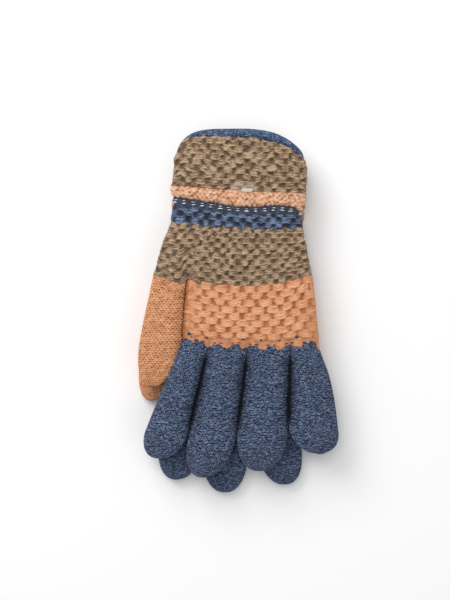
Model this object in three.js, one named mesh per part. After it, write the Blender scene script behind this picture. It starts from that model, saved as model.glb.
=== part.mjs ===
// A pair of lined, knitted winter gloves, laid flat one on the other, palm to palm.
//
// Millimetres, +Z up. +Y runs from the fingertips to the cuffs and the thumbs are on the -X side.
// The origin is on the table, under the palm of the lower glove. The lower glove is the right one
// and lies on its back. The upper glove is the left one, with the back of its hand upwards, so each
// is the other's mirror image in a level plane, apart from how its limp fingers happen to lie.
//
// Each glove is a row of knitted tubes, one for each change of yarn or stitch, from the hem at the
// wrist to the four fingers and the thumb. A fleece lining, cut in the same pieces, is inside them.

import * as THREE from "three";

// ---- driving dimensions ----

const thickness = 13; // of one glove lying flat
const gloveGap = 0.8; // between the two gloves
const knitWall = 2.2; // bobble-knit tubes of the hand and cuff
const digitWall = 1.8; // plain-knit tubes of the fingers and thumb
const fleece = 1.0; // the lining's thickness
const gap = 0.3; // between pieces that touch
const halfSpan = 43; // half the cuff's width, the scale of the edges' curves
const hemWidth = 4.5;
const lowerGloveShift = -10; // the lower glove lies this far towards the fingertips

const stripeInset = 0.9; // the narrow stripe is knitted tighter than its neighbours
const threadSize = 0.6; // elastic thread, wound twice round the stripe
const threadDrops = [1.8, 3.2]; // how far below the roll each turn lies
const rollBulge = 0.8; // the rolled welt stands out this far at the sides

// Left and right edges of the glove's outline at each change of yarn.
const edgesAt = {
  mouth: [-41.4, 44.6],
  rollTop: [-43.2, 43.9],
  rollBottom: [-42.9, 42.9],
  stripeBottom: [-44.5, 43.2],
  panelMiddle: [-49.1, 44.6],
  panelBottom: [-56.2, 48.6],
  handTop: [-33.6, 48.9],
  knuckles: [-36.9, 54.1],
};

// ---- the lines where one piece ends and the next begins, as heights along Y over X ----

const bow = (y, tilt, sag, x0 = 0, span = halfSpan) => (x) =>
  y - (tilt * x) / span + sag * ((x - x0) / span) ** 2;

const line = {
  rollTop: bow(78.3, 2.2, 0),
  rollBottom: bow(68.2, 2.5, 1.0),
  stripeBottom: bow(54.4, 2.2, 1.8),
  panelMiddle: bow(36, 0.8, 1.8),
  panelBottom: bow(15, 0, 4.0, -3, 50),
  knuckles: bow(-25.5, 0, 5.0, 8, 45),
};

// The mouth of the cuff is an arch: nearly straight across, then falling away at both sides. Its
// corner on the thumb's side is the squarer one.
const mouthTop = 118.2;
const mouthFall = 24;
const cornerPowers = { left: 5, right: 2.6 };
function mouthLine(x) {
  const [left, right] = edgesAt.mouth;
  const across = THREE.MathUtils.clamp((2 * x - left - right) / (right - left), -1, 1);
  const power = across < 0 ? cornerPowers.left : cornerPowers.right;
  return mouthTop - mouthFall * (1 - Math.sqrt(1 - Math.abs(across) ** power));
}

const moved = (curve, dy) => (x) => curve(x) + dy;
const level = (y) => () => y;
const hemLine = moved(mouthLine, -hemWidth);

// ---- materials ----

const yarn = (color) => new THREE.MeshStandardMaterial({ color, roughness: 0.95, metalness: 0 });
const navyYarn = yarn(0x434d62);
const tanYarn = yarn(0x8c765f);
const peachYarn = yarn(0xcc906a);
const navyFleece = yarn(0x39414f);
const whiteElastic = yarn(0xe4e2d8);
const clearPlastic = new THREE.MeshStandardMaterial({
  color: 0xe9e6e2,
  roughness: 0.15,
  metalness: 0,
  transparent: true,
  opacity: 0.4,
});

// ---- surfaces ----

const sideSteps = 4; // facets round each rounded side of a cross-section: even, to reach its edge

// One cross-section of a flattened tube, as a ring of points: flat above and below, round at the
// sides. `line` gives the height along Y at each X, `inset` moves the ring in from the outside.
function ring({ line, left, right, bottom, top }, inset, flatSteps) {
  const radius = (top - bottom) / 2 - inset;
  const midZ = (top + bottom) / 2;
  const rightCentre = right - inset - radius;
  const leftCentre = left + inset + radius;
  const outline = [];
  for (let i = 0; i <= sideSteps; i++) {
    const a = -Math.PI / 2 + (Math.PI * i) / sideSteps;
    outline.push([rightCentre + radius * Math.cos(a), radius * Math.sin(a)]);
  }
  for (let i = 1; i < flatSteps; i++) {
    outline.push([THREE.MathUtils.lerp(rightCentre, leftCentre, i / flatSteps), radius]);
  }
  for (let i = 0; i <= sideSteps; i++) {
    const a = Math.PI / 2 + (Math.PI * i) / sideSteps;
    outline.push([leftCentre + radius * Math.cos(a), radius * Math.sin(a)]);
  }
  for (let i = 1; i < flatSteps; i++) {
    outline.push([THREE.MathUtils.lerp(leftCentre, rightCentre, i / flatSteps), -radius]);
  }
  return outline.map(([x, z]) => [x, line(x), midZ + z]);
}

// Joins rings of equal length into one closed surface. A loop joins the last ring to the first, as
// a tube that is open at both ends does. Otherwise the first and last rings are capped. The closing
// strip is cut along its other diagonal, so that two tubes' facing ends are parallel.
function skin(rings, loop) {
  const n = rings[0].length;
  const index = [];
  for (let k = 0; k < n; k++) {
    const m = (k + 1) % n;
    for (let b = n; b < rings.length * n; b += n) {
      const a = b - n;
      index.push(a + k, b + m, b + k, a + k, a + m, b + m);
    }
    if (loop) {
      const a = (rings.length - 1) * n;
      index.push(a + k, a + m, k, a + m, m, k);
    }
  }
  if (!loop) {
    const last = (rings.length - 1) * n;
    for (let k = 1; k < n - 1; k++) {
      index.push(0, k + 1, k, last, last + k, last + k + 1);
    }
  }
  const geometry = new THREE.BufferGeometry();
  geometry.setAttribute("position", new THREE.Float32BufferAttribute(rings.flat(2), 3));
  geometry.setIndex(index);
  geometry.computeVertexNormals();
  return geometry;
}

// A tube that is open at both ends, from its outer and inner stations.
function openTube(outer, outerInset, inner, innerInset, flatSteps) {
  const outside = outer.map((s) => ring(s, outerInset, flatSteps));
  const inside = inner.map((s) => ring(s, innerInset, flatSteps)).reverse();
  return skin([...outside, ...inside], true);
}

function mesh(name, geometry, material) {
  const made = new THREE.Mesh(geometry, material);
  made.name = name;
  return made;
}

// ---- hand and cuff ----

const bodyFlatSteps = 6;

const station = (line, [left, right], bottom = 0, top = thickness) => ({
  line,
  left,
  right,
  bottom,
  top,
});

// The widest ring of the rolled welt, between its two edges.
function rollCrest(rise) {
  const [left, right] = edgesAt.rollTop;
  const middle = (x) => (line.rollTop(x) + line.rollBottom(x)) / 2;
  return station(middle, [left - rollBulge, right + rollBulge], 0, thickness + rise);
}

// The hand and cuff's knitted tubes, from the mouth to the knuckles. Each starts a gap below the
// one before it.
function bodyTubes(prefix, rollRise) {
  const below = (curve) => moved(curve, -gap);
  const tube = (name, material, stations, outerInset = 0, inner = stations) =>
    mesh(prefix + name, openTube(stations, outerInset, inner, knitWall, bodyFlatSteps), material);
  const rollEnds = [
    station(below(line.rollTop), edgesAt.rollTop),
    station(line.rollBottom, edgesAt.rollBottom),
  ];
  return [
    tube("cuff_hem", navyYarn, [
      station(mouthLine, edgesAt.mouth),
      station(hemLine, edgesAt.mouth),
    ]),
    tube("cuff_band", tanYarn, [
      station(below(hemLine), edgesAt.mouth),
      station(line.rollTop, edgesAt.rollTop),
    ]),
    tube("rolled_welt", peachYarn, [rollEnds[0], rollCrest(rollRise), rollEnds[1]], 0, rollEnds),
    tube(
      "wrist_stripe",
      navyYarn,
      [
        station(below(line.rollBottom), edgesAt.rollBottom),
        station(line.stripeBottom, edgesAt.stripeBottom),
      ],
      stripeInset,
    ),
    tube("wrist_panel", tanYarn, [
      station(below(line.stripeBottom), edgesAt.stripeBottom),
      station(line.panelMiddle, edgesAt.panelMiddle),
      station(line.panelBottom, edgesAt.panelBottom),
    ]),
    tube("hand_panel", peachYarn, [
      station(below(line.panelBottom), edgesAt.handTop),
      station(line.knuckles, edgesAt.knuckles),
    ]),
  ];
}

// Two turns of elastic thread in the stripe's shallow groove, just below the roll.
function elasticThreads(prefix) {
  const stripeWidth = line.rollBottom(0) - line.stripeBottom(0);
  const edgesBelowRoll = (drop) =>
    edgesAt.rollBottom.map((edge, side) =>
      THREE.MathUtils.lerp(edge, edgesAt.stripeBottom[side], drop / stripeWidth),
    );
  return threadDrops.map((drop, i) => {
    const turn = [drop, drop + threadSize].map((d) =>
      station(moved(line.rollBottom, -d), edgesBelowRoll(d)),
    );
    const geometry = openTube(turn, 0, turn, threadSize, bodyFlatSteps);
    return mesh(`${prefix}elastic_thread_${i + 1}`, geometry, whiteElastic);
  });
}

function bodyLinings(prefix) {
  const outer = knitWall + gap;
  const tube = (name, stations) =>
    mesh(
      prefix + name,
      openTube(stations, outer, stations, outer + fleece, bodyFlatSteps),
      navyFleece,
    );
  return [
    tube("cuff_lining", [
      station(moved(mouthLine, -gap), edgesAt.mouth),
      station(hemLine, edgesAt.mouth),
      station(line.rollTop, edgesAt.rollTop),
      station(line.rollBottom, edgesAt.rollBottom),
      station(line.stripeBottom, edgesAt.stripeBottom),
      station(line.panelMiddle, edgesAt.panelMiddle),
      station(moved(line.panelBottom, gap), edgesAt.panelBottom),
    ]),
    tube("hand_lining", [
      station(moved(line.panelBottom, -gap), edgesAt.handTop),
      station(moved(line.knuckles, gap), edgesAt.knuckles),
    ]),
  ];
}

// ---- fingers and thumb ----

const digitFlatSteps = 2;
const shaftSteps = 3; // stations from a digit's base to its widest place
const domeSteps = [0.5, 0.82, 0.98]; // and on to its tip, as shares of the rounded end

// The cross-sections of one digit, from its base to its tip. `inset` gives the same shape further
// in: narrower, thinner and shorter.
function digitStations({ base, widest, tip, bottom, top, puff = 0 }, inset, startLine) {
  const stations = [];
  const add = (line, x, halfWidth, share, rise) => {
    const z0 = bottom + inset;
    const z1 = top + rise - inset;
    const middle = (z0 + z1) / 2;
    const halfHeight = ((z1 - z0) / 2) * share;
    stations.push({
      line,
      left: x - (halfWidth - inset) * share,
      right: x + (halfWidth - inset) * share,
      bottom: middle - halfHeight,
      top: middle + halfHeight,
    });
  };
  for (let i = 0; i <= shaftSteps; i++) {
    const t = i / shaftSteps;
    const y = THREE.MathUtils.lerp(startLine(base.x), widest.y, t);
    const x = THREE.MathUtils.lerp(base.x, widest.x, t);
    const halfWidth = THREE.MathUtils.lerp(base.halfWidth, widest.halfWidth, t);
    add(i === 0 ? startLine : level(y), x, halfWidth, 1, puff * Math.sin((t * Math.PI) / 2));
  }
  for (const t of domeSteps) {
    const y = THREE.MathUtils.lerp(widest.y, tip.y + inset, t);
    const x = THREE.MathUtils.lerp(widest.x, tip.x, t);
    add(level(y), x, widest.halfWidth, Math.sqrt(1 - t * t), puff);
  }
  return stations;
}

// A closed-ended sleeve whose wall runs from inset `outer` to inset `inner`.
function sleeve(digit, outer, inner, startLine) {
  const rings = (inset) =>
    digitStations(digit, inset, startLine).map((s) => ring(s, 0, digitFlatSteps));
  return skin([...rings(inner).reverse(), ...rings(outer)], false);
}

function digitMeshes(prefix, digits) {
  return Object.entries(digits).flatMap(([name, digit]) => {
    const start = name === "thumb" ? line.panelBottom : line.knuckles;
    const shell = sleeve(digit, 0, digitWall, moved(start, -gap));
    const liningInset = digitWall + gap;
    const lining = sleeve(digit, liningInset, liningInset + fleece, moved(start, -2 * gap));
    const material = name === "thumb" ? peachYarn : navyYarn;
    return [
      mesh(prefix + name, shell, material),
      mesh(`${prefix + name}_lining`, lining, navyFleece),
    ];
  });
}

// ---- the two gloves ----

const fingerHeights = { bottom: 0, top: thickness };

// Where each digit starts, where it is widest and where it ends. The left glove's fingers lie
// plump on top. The right glove's are pressed flat beneath them, and fan the other way.
const leftDigits = {
  thumb: {
    base: { x: -44.8, halfWidth: 10.6 },
    widest: { x: -51.2, y: -20, halfWidth: 12.9 },
    tip: { x: -56.5, y: -51 },
    bottom: 0.4,
    top: 11.6,
  },
  index_finger: {
    base: { x: -28.3, halfWidth: 8.3 },
    widest: { x: -46.9, y: -80, halfWidth: 14.0 },
    tip: { x: -51.5, y: -98.2 },
    puff: 2.5,
    ...fingerHeights,
  },
  middle_finger: {
    base: { x: -6.4, halfWidth: 12.3 },
    widest: { x: -16.5, y: -82, halfWidth: 15.2 },
    tip: { x: -23, y: -110.8 },
    puff: 2.5,
    ...fingerHeights,
  },
  ring_finger: {
    base: { x: 19, halfWidth: 11.8 },
    widest: { x: 16.2, y: -80, halfWidth: 16 },
    tip: { x: 14, y: -106.6 },
    puff: 2.5,
    ...fingerHeights,
  },
  little_finger: {
    base: { x: 43, halfWidth: 11 },
    widest: { x: 49.6, y: -77, halfWidth: 15.9 },
    tip: { x: 53, y: -94.8 },
    puff: 2.5,
    ...fingerHeights,
  },
};

const rightDigits = {
  thumb: {
    base: { x: -44.8, halfWidth: 10.6 },
    widest: { x: -51.2, y: -20, halfWidth: 12.9 },
    tip: { x: -57, y: -51.4 },
    bottom: 1.8,
    top: 13,
  },
  index_finger: {
    base: { x: -28.3, halfWidth: 8.3 },
    widest: { x: -38.6, y: -80, halfWidth: 13.8 },
    tip: { x: -40.8, y: -101.8 },
    ...fingerHeights,
  },
  middle_finger: {
    base: { x: -6.4, halfWidth: 12.3 },
    widest: { x: -7.8, y: -84, halfWidth: 14.8 },
    tip: { x: -8.4, y: -110.4 },
    ...fingerHeights,
  },
  ring_finger: {
    base: { x: 19, halfWidth: 11.8 },
    widest: { x: 27.4, y: -80, halfWidth: 15.4 },
    tip: { x: 31, y: -105.2 },
    ...fingerHeights,
  },
  little_finger: {
    base: { x: 43, halfWidth: 11 },
    widest: { x: 53.0, y: -66, halfWidth: 11.2 },
    tip: { x: 54.6, y: -85 },
    ...fingerHeights,
  },
};

function glove(prefix, digits, rollRise) {
  const group = new THREE.Group();
  group.add(
    ...bodyTubes(prefix, rollRise),
    ...elasticThreads(prefix),
    ...bodyLinings(prefix),
    ...digitMeshes(prefix, digits),
  );
  return group;
}

// A clear plastic tag tab. It lies on the back of the cuff with its straight side against the roll.
function tagTab() {
  const halfWidth = 8;
  const height = 6.2;
  const sheet = 0.7;
  const outline = new THREE.Shape();
  outline.absellipse(0, 0, halfWidth, height, 0, Math.PI, false);
  const geometry = new THREE.ExtrudeGeometry(outline, {
    depth: sheet,
    bevelEnabled: false,
    curveSegments: 12,
  });
  const made = mesh("tag_tab", geometry, clearPlastic);
  made.position.set(3.9, line.rollTop(3.9) + 2 * gap, thickness + gap);
  return made;
}

const rightGlove = glove("right_", rightDigits, 0);
rightGlove.scale.z = -1;
rightGlove.position.set(0, lowerGloveShift, thickness);

const leftGlove = glove("left_", leftDigits, 2);
leftGlove.position.z = thickness + gloveGap;
leftGlove.add(tagTab());

const pair = new THREE.Group();
pair.add(rightGlove, leftGlove);

export default pair;
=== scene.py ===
"""A pair of lined, knitted winter gloves, laid flat palm to palm: the looks round the CAD frame.

Every knitted tube of the CAD model becomes a fine mesh. A tube gives the smooth surface of the cloth
as a function of u, once round the tube, and v, millimetres down it. A stitch pattern gives the
relief of the yarn at each point, and knit() lifts the one by the other. Lengths are in millimetres
until a mesh is made.
"""

import math
from dataclasses import dataclass

import bpy
import numpy as np
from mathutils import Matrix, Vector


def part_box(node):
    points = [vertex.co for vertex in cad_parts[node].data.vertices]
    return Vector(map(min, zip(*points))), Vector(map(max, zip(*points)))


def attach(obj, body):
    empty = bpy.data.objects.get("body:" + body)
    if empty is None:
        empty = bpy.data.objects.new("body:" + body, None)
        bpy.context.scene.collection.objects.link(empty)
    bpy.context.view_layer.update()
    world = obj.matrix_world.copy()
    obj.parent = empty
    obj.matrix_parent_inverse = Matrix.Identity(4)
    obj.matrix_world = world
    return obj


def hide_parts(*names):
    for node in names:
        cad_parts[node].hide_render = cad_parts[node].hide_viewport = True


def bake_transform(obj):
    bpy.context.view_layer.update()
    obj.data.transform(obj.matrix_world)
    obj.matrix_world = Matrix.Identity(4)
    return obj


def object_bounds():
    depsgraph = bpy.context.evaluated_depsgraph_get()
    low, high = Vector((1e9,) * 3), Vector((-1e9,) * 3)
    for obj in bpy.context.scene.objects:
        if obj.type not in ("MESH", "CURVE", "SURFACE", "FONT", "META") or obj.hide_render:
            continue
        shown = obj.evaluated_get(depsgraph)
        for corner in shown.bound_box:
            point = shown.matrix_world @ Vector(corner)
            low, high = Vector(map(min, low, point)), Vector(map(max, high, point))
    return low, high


MM = 0.001
TAU = 2 * math.pi

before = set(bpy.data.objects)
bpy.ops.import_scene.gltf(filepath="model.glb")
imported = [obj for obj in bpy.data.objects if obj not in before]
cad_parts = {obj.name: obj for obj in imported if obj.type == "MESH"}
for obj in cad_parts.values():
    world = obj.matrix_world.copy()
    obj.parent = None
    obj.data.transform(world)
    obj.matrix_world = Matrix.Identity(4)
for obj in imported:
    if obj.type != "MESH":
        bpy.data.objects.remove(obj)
cad_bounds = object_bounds()

# ---- what the frame says ----


def node_points(node):
    """The corners of a CAD node, in millimetres."""
    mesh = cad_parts[node].data
    points = np.empty(len(mesh.vertices) * 3, np.float32)
    mesh.vertices.foreach_get("co", points)
    return points.reshape(-1, 3).astype(float) / MM


def box(node):
    low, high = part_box(node)
    return np.array(low) / MM, np.array(high) / MM


class Seam:
    """The line round the hand where a CAD tube ends, with its left and right ends and its middle s.

    line(x) is its height, and edge(x) is how far the upper of the two tubes runs on past it.
    """

    def __init__(self, node, far):
        points = node_points(node)
        middle = points[:, 1].mean()
        for _ in range(6):  # sorts the tube's corners to its two ends
            ends = [points[points[:, 1] > middle], points[points[:, 1] <= middle]]
            fits = [np.poly1d(np.polyfit(end[:, 0], end[:, 1], 2)) for end in ends]
            middle = (fits[0](points[:, 0]) + fits[1](points[:, 0])) / 2
        self.line, end = (fits[0], ends[0]) if far else (fits[1], ends[1])
        self.left, self.right = end[:, 0].min(), end[:, 0].max()
        self.s = self.line(0)


roll_top = Seam("left_cuff_band", far=False)
roll_bottom = Seam("left_wrist_stripe", far=True)
stripe_bottom = Seam("left_wrist_stripe", far=False)
hand_top = Seam("left_hand_panel", far=True)
knuckles = Seam("left_hand_panel", far=False)
hem_low, hem_high = box("left_cuff_hem")
panel_low, panel_high = box("left_wrist_panel")
thickness = box("left_hand_panel")[1][2] - box("left_hand_panel")[0][2]

# ---- curves and noise ----

TABLE = 128  # the sides of the table of random numbers behind the noise
STITCH_TABLE = 64  # and of those behind the stitches
RING_STEPS = 1440  # how finely a ring's length is measured


def smooth(start, end, x):
    t = np.clip((x - start) / (end - start), 0, 1)
    return t * t * (3 - 2 * t)


def curve_through(xs, ys):
    """A smooth function through the points, straight beyond them."""
    order = np.argsort(xs)
    xs, ys = np.array(xs, float)[order], np.array(ys, float)[order]
    slopes = np.gradient(ys, xs)

    def value(x):
        x = np.asarray(x, float)
        i = np.clip(np.searchsorted(xs, x) - 1, 0, len(xs) - 2)
        h = xs[i + 1] - xs[i]
        t = np.clip((x - xs[i]) / h, 0, 1)
        near = (ys[i] * (1 + 2 * t) + slopes[i] * h * t) * (1 - t) ** 2
        far = (ys[i + 1] * (3 - 2 * t) + slopes[i + 1] * h * (t - 1)) * t**2
        before = np.minimum(x - xs[0], 0) * slopes[0]
        after = np.maximum(x - xs[-1], 0) * slopes[-1]
        return near + far + before + after

    return value


def random_table(seed, *sides):
    return np.random.default_rng(seed).uniform(-1, 1, sides)


def noise(u, v, period, seed):
    """Smooth noise from -1 to 1 with one bump to each unit, wrapping in u after a whole period."""
    table = random_table(seed, TABLE, TABLE)
    i, j = np.floor(u).astype(int), np.floor(v).astype(int)
    fu, fv = smooth(0, 1, u - i), smooth(0, 1, v - j)
    near, far = (i % period) % TABLE, ((i + 1) % period) % TABLE
    low, high = (table[near, k % TABLE] * (1 - fu) + table[far, k % TABLE] * fu for k in (j, j + 1))
    return low * (1 - fv) + high * fv


def ring(u, half_width, half_height, power):
    """Places x and z at shares u round a flattened ring, from its underside, and its girth.

    They are shares of its half width and half height. A higher power makes it squarer.
    """
    angle = np.linspace(-TAU / 4, TAU * 3 / 4, RING_STEPS + 1)
    c, s = np.cos(angle), np.sin(angle)
    x = np.sign(c) * np.abs(c) ** (2 / power)
    z = np.sign(s) * np.abs(s) ** (2 / power)
    steps = np.hypot(np.diff(x) * half_width, np.diff(z) * half_height)
    share = np.concatenate([[0], np.cumsum(steps)]) / steps.sum()
    u = u % 1
    return np.interp(u, share, x), np.interp(u, share, z), steps.sum()


# ---- how each piece's edge runs over the next one's ----

TONGUE_PITCH, TONGUE_START = 11.7, 4.2  # the peach tongues at the knuckles
SCALLOP_PITCH = 8.2  # the scallops where the stripe ends


def ripple(x, size, seed):
    """Smooth noise from -1 to 1 along x."""
    return noise(x / size + TABLE // 2, np.zeros_like(x), TABLE, seed)


def scallops(x, pitch, start=0.0):
    """Round tabs from 0 to 1, with a notch between each two."""
    return np.abs(np.cos(math.pi * (x - start) / pitch)) ** 0.8


def tongues(x):
    return smooth(-0.35, 0.45, np.cos(TAU * (x - TONGUE_START) / TONGUE_PITCH))


def ride_up(seam, heights):
    """Moves a seam up by the heights given along x."""
    line, rise = seam.line, curve_through(*zip(*heights))
    seam.line = lambda x: line(x) + rise(x)


# the roll hangs lower in its middle, and the peach of the hand starts higher beside the thumb
OVER_THUMB = ((-56, 3.2), (-46, 2.4), (-38, 1.2))
OVER_HAND = ((-33, 5.2), (-26, 4.2), (0, 1.3), (20, 1.6), (38, 3.3), (46, 4.6))
ride_up(roll_bottom, ((-42, 3.2), (-20, 1.8), (0, 0), (13, 0.4), (28, 1.9), (36, 0.8), (42, -1.8)))
ride_up(hand_top, OVER_THUMB + OVER_HAND)
ride_up(knuckles, ((-36, 0), (-15, 0), (3, 1.2), (14, 0), (27, -1), (36, -0.5), (44, -2), (54, -6.5)))
roll_top.edge = lambda x: 0.6 * ripple(x, 2.2, 11) - 0.3 - 0.8 * smooth(-10, -40, x)
roll_bottom.edge = lambda x: 0.9 * scallops(x, 3.9) - 1.4 + 0.5 * ripple(x, 3, 12)
stripe_bottom.edge = lambda x: 2.3 * scallops(x, SCALLOP_PITCH, 2) - 0.9 + 0.6 * ripple(x, 4, 13)
hand_top.edge = lambda x: 0.9 * ripple(x, 5, 14) + 0.5 * ripple(x, 1.8, 15)
knuckles.edge = lambda x: 2.1 * tongues(x) - 1.7 + 0.3 * ripple(x, 1.8, 16)

# ---- the cuff's mouth ----

MOUTH_FALL = 24  # the rim drops this far at the sides
CORNER_POWERS = (5, 2.3)  # how square its left and right corners are
RIM_PLACES = (-1, -0.88, -0.7, -0.45, -0.2, 0.6, 0.82, 0.93, 1)  # across the mouth
RIM_WIDTHS = (0.6, 1.3, 2.7, 4.3, 5.1, 5.2, 4.6, 3.4, 1.2)  # what shows of the rim there
MOUTH_FLATNESS = 0.86  # the cuff's thickness at its mouth, as a share of the rest


def across_mouth(x):
    """From -1 at the mouth's left edge to 1 at its right edge."""
    return np.clip((2 * x - hem_low[0] - hem_high[0]) / (hem_high[0] - hem_low[0]), -1, 1)


def mouth_line(x):
    a = across_mouth(x)
    power = np.where(a < 0, *CORNER_POWERS)
    return hem_high[1] - MOUTH_FALL * (1 - np.sqrt(1 - np.abs(a) ** power))


def band_line(x):
    """Where the bobbles of the cuff end and its rim starts to show."""
    a = across_mouth(x)
    return mouth_line(x) - np.interp(a, RIM_PLACES, RIM_WIDTHS)


def band_edge(x):
    return 0.9 + 0.5 * ripple(x, 4, 17) + 0.4 * ripple(x, 1.8, 18)


# ---- the tubes: smooth surfaces ----


class HandTube:
    """A stretch of the hand or cuff between two lines. v runs from the line nearer the cuff."""

    POWER = 3.2
    INSET, SPREAD = 1.0, 0.6  # the cloth lies inside the CAD's outer face, less so at the sides

    def __init__(self, start, end, left, right, dip=None, inset=INSET):
        self.start, self.end, self.dip = start, end, dip
        self.left, self.right = left, right
        self.length = start(0.0) - end(0.0)
        self.half_width = (right(end(0.0)) - left(end(0.0))) / 2
        self.half_height = thickness / 2 - inset
        self.side_inset = inset - self.SPREAD
        self.girth = ring(0.0, self.half_width, self.half_height, self.POWER)[2]

    def place(self, u, v):
        rx, rz, _ = ring(u, self.half_width, self.half_height, self.POWER)
        s = self.start(0.0) - v
        left, right = self.left(s) + self.side_inset, self.right(s) - self.side_inset
        x = (left + right) / 2 + (right - left) / 2 * rx
        y = self.start(x) - v / self.length * (self.start(x) - self.end(x))
        height = self.half_height * rz
        if self.dip:
            height = height * self.dip(x, v)
        return np.stack([x, y, thickness / 2 + height], -1)


class RimTube:
    """The rolled rim of the mouth. v runs from inside the cuff, over the lip, to under the band."""

    INNER, OUTER, LIP, INSET = 7, 10, 1.3, 1.3
    FAR_LAYER = 0.9  # the palm side's rim shows past the other

    def __init__(self):
        self.centre = (hem_low[0] + hem_high[0]) / 2
        self.half_width = (hem_high[0] - hem_low[0]) / 2
        self.half_height = thickness / 2 - self.INSET
        self.girth = ring(0.0, self.half_width, self.half_height, HandTube.POWER)[2]
        self.length = self.INNER + math.pi * self.LIP + self.OUTER

    def place(self, u, v):
        rx, rz, _ = ring(u, self.half_width, self.half_height, HandTube.POWER)
        turn = np.clip((v - self.INNER) / self.LIP, 0, math.pi)
        back = self.LIP * (1 - np.sin(turn)) + np.maximum(0, self.INNER - v)
        back = back + np.maximum(0, v - self.INNER - math.pi * self.LIP)
        inset = self.INSET + self.LIP * (1 + np.cos(turn))
        x = self.centre + (self.half_width - inset) * rx
        ahead = self.FAR_LAYER * np.clip(-rz, -1, 1) * (1 - across_mouth(x) ** 4)
        z = thickness / 2 + (thickness / 2 - inset) * MOUTH_FLATNESS * rz
        return np.stack([x, mouth_line(x) - back + ahead, z], -1)


def extent(points):
    """The middle and half the width of some points, and their lowest and highest z."""
    x, z = points[:, 0], points[:, 2]
    return (x.min() + x.max()) / 2, np.ptp(x) / 2, (z.min(), z.max())


class DigitTube:
    """A finger or thumb, read from its CAD node. v runs from its base to its tip."""

    INSET, SIDE_INSET = 0.7, 0.2
    POWER, ROOT_POWER = 1.95, 3.4  # round along its length, squarer where it leaves the hand
    ROOT = 11  # the squarer stretch's length
    DOME = 0.9  # the fingertip's outline is a little squarer than an ellipse
    BASE, LEVEL = 3.4, 0.05  # the base's corners lie within BASE of the highest, a ring's within LEVEL
    OVERLAP, PART = 0.1, 0.35  # neighbours overlap at the base, and stand this far back lower down

    def __init__(self, node, local, start, inset=INSET, bulge=0.5, longer=0.0, meets=(None, None)):
        points = local(node_points(node))
        y = points[:, 1]
        base, tip = points[y > y.max() - self.BASE], points[y < y.min() + self.LEVEL]
        rings = [points[np.abs(y - level) < self.LEVEL] for level in np.unique(y.round(1))]
        widest = max(rings, key=lambda ring_points: np.ptp(ring_points[:, 0]))
        self.start, self.inset, self.bulge = start, inset, bulge
        self.side_inset = inset - self.INSET + self.SIDE_INSET
        self.base_x, self.base_half, self.base_z = extent(base)
        self.wide_x, self.wide_half, self.wide_z = extent(widest)
        self.base_y, self.wide_y = start(self.base_x), widest[0, 1]
        self.tip_x, self.tip_y = tip[:, 0].mean(), tip[0, 1] + inset - longer
        self.shaft = self.base_y - self.wide_y
        self.dome_turn = np.linspace(0, TAU / 4, 200)
        across, ahead = np.cos(self.dome_turn) ** self.DOME, np.sin(self.dome_turn) ** self.DOME
        steps = np.hypot(*np.diff([self.wide_half * across, (self.wide_y - self.tip_y) * ahead]))
        self.dome_share = np.concatenate([[0], np.cumsum(steps)])
        self.length = self.shaft + self.dome_share[-1]
        self.half_height = (self.wide_z[1] - self.wide_z[0]) / 2 - inset
        self.girth = ring(0.0, self.wide_half, self.half_height, self.POWER)[2]
        # how much further each side reaches, at the base and at the widest, to meet its neighbour
        self.reach = [[0.0, 0.0], [0.0, 0.0]]
        base, widest = (self.base_x, self.base_half), (self.wide_x, self.wide_half)
        levels = ((*base, self.OVERLAP), (*widest, -self.PART))
        for side, meet in enumerate(meets):
            for level, (own, half, past) in enumerate(levels):
                if meet and meet[level] is not None:
                    gap = abs(meet[level] - own) - half
                    self.reach[side][level] = gap + self.side_inset + past

    def place(self, u, v):
        t = np.clip(v / self.shaft, -0.2, 1)
        turn = np.interp(v - self.shaft, self.dome_share, self.dome_turn)
        shrink, ahead = np.cos(turn) ** self.DOME, np.sin(turn) ** self.DOME
        x = self.base_x + (self.wide_x - self.base_x) * t + (self.tip_x - self.wide_x) * ahead
        y = self.base_y - self.shaft * t - (self.wide_y - self.tip_y) * ahead
        half = self.base_half + (self.wide_half - self.base_half) * t - self.side_inset
        along = np.clip(t, 0, 1)
        bulge = self.bulge * np.sin(math.pi * along)
        ease = np.sin(along * TAU / 4)
        low = self.base_z[0] + (self.wide_z[0] - self.base_z[0]) * ease + self.inset
        high = self.base_z[1] + (self.wide_z[1] - self.base_z[1]) * ease - self.inset
        rx, rz, _ = ring(u, self.wide_half, self.half_height, self.POWER)
        flat_rx, flat_rz, _ = ring(u, self.wide_half, self.half_height, self.ROOT_POWER)
        root = 1 - smooth(0, self.ROOT, v)
        rx, rz = rx + (flat_rx - rx) * root, rz + (flat_rz - rz) * root
        sides = [
            base * (1 - along) + wide * along if wide else base * root + bulge
            for base, wide in self.reach
        ]
        width = (half + np.where(rx < 0, *sides)) * shrink
        px = x + width * rx
        bow = self.start(px) - self.start(x)
        py = y + bow * (1 - smooth(0, 0.35, t))
        pz = (low + high) / 2 + (high - low) / 2 * shrink**0.8 * rz
        return np.stack([px, py, pz], -1)

    def crease(self, u, v):
        """How deep the painted shade of a crease lies: 1 where the digit is pressed against its neighbour,
        0 on its open faces.
        """
        rx, _, _ = ring(u, self.wide_half, self.half_height, self.POWER)
        here = [float(base > 0) for base, _ in self.reach]
        near = 0.75 * smooth(0.84, 0.97, np.abs(rx)) + 0.25 * smooth(0.45, 0.95, np.abs(rx))
        near = near * np.where(rx < 0, *here)
        return near * smooth(4, 10, v) * (1 - smooth(0.75, 1.05, v / self.shaft))


# ---- stitch patterns: relief from 0 to 1, and a tone from -1 to 1 for each stitch ----


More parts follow.
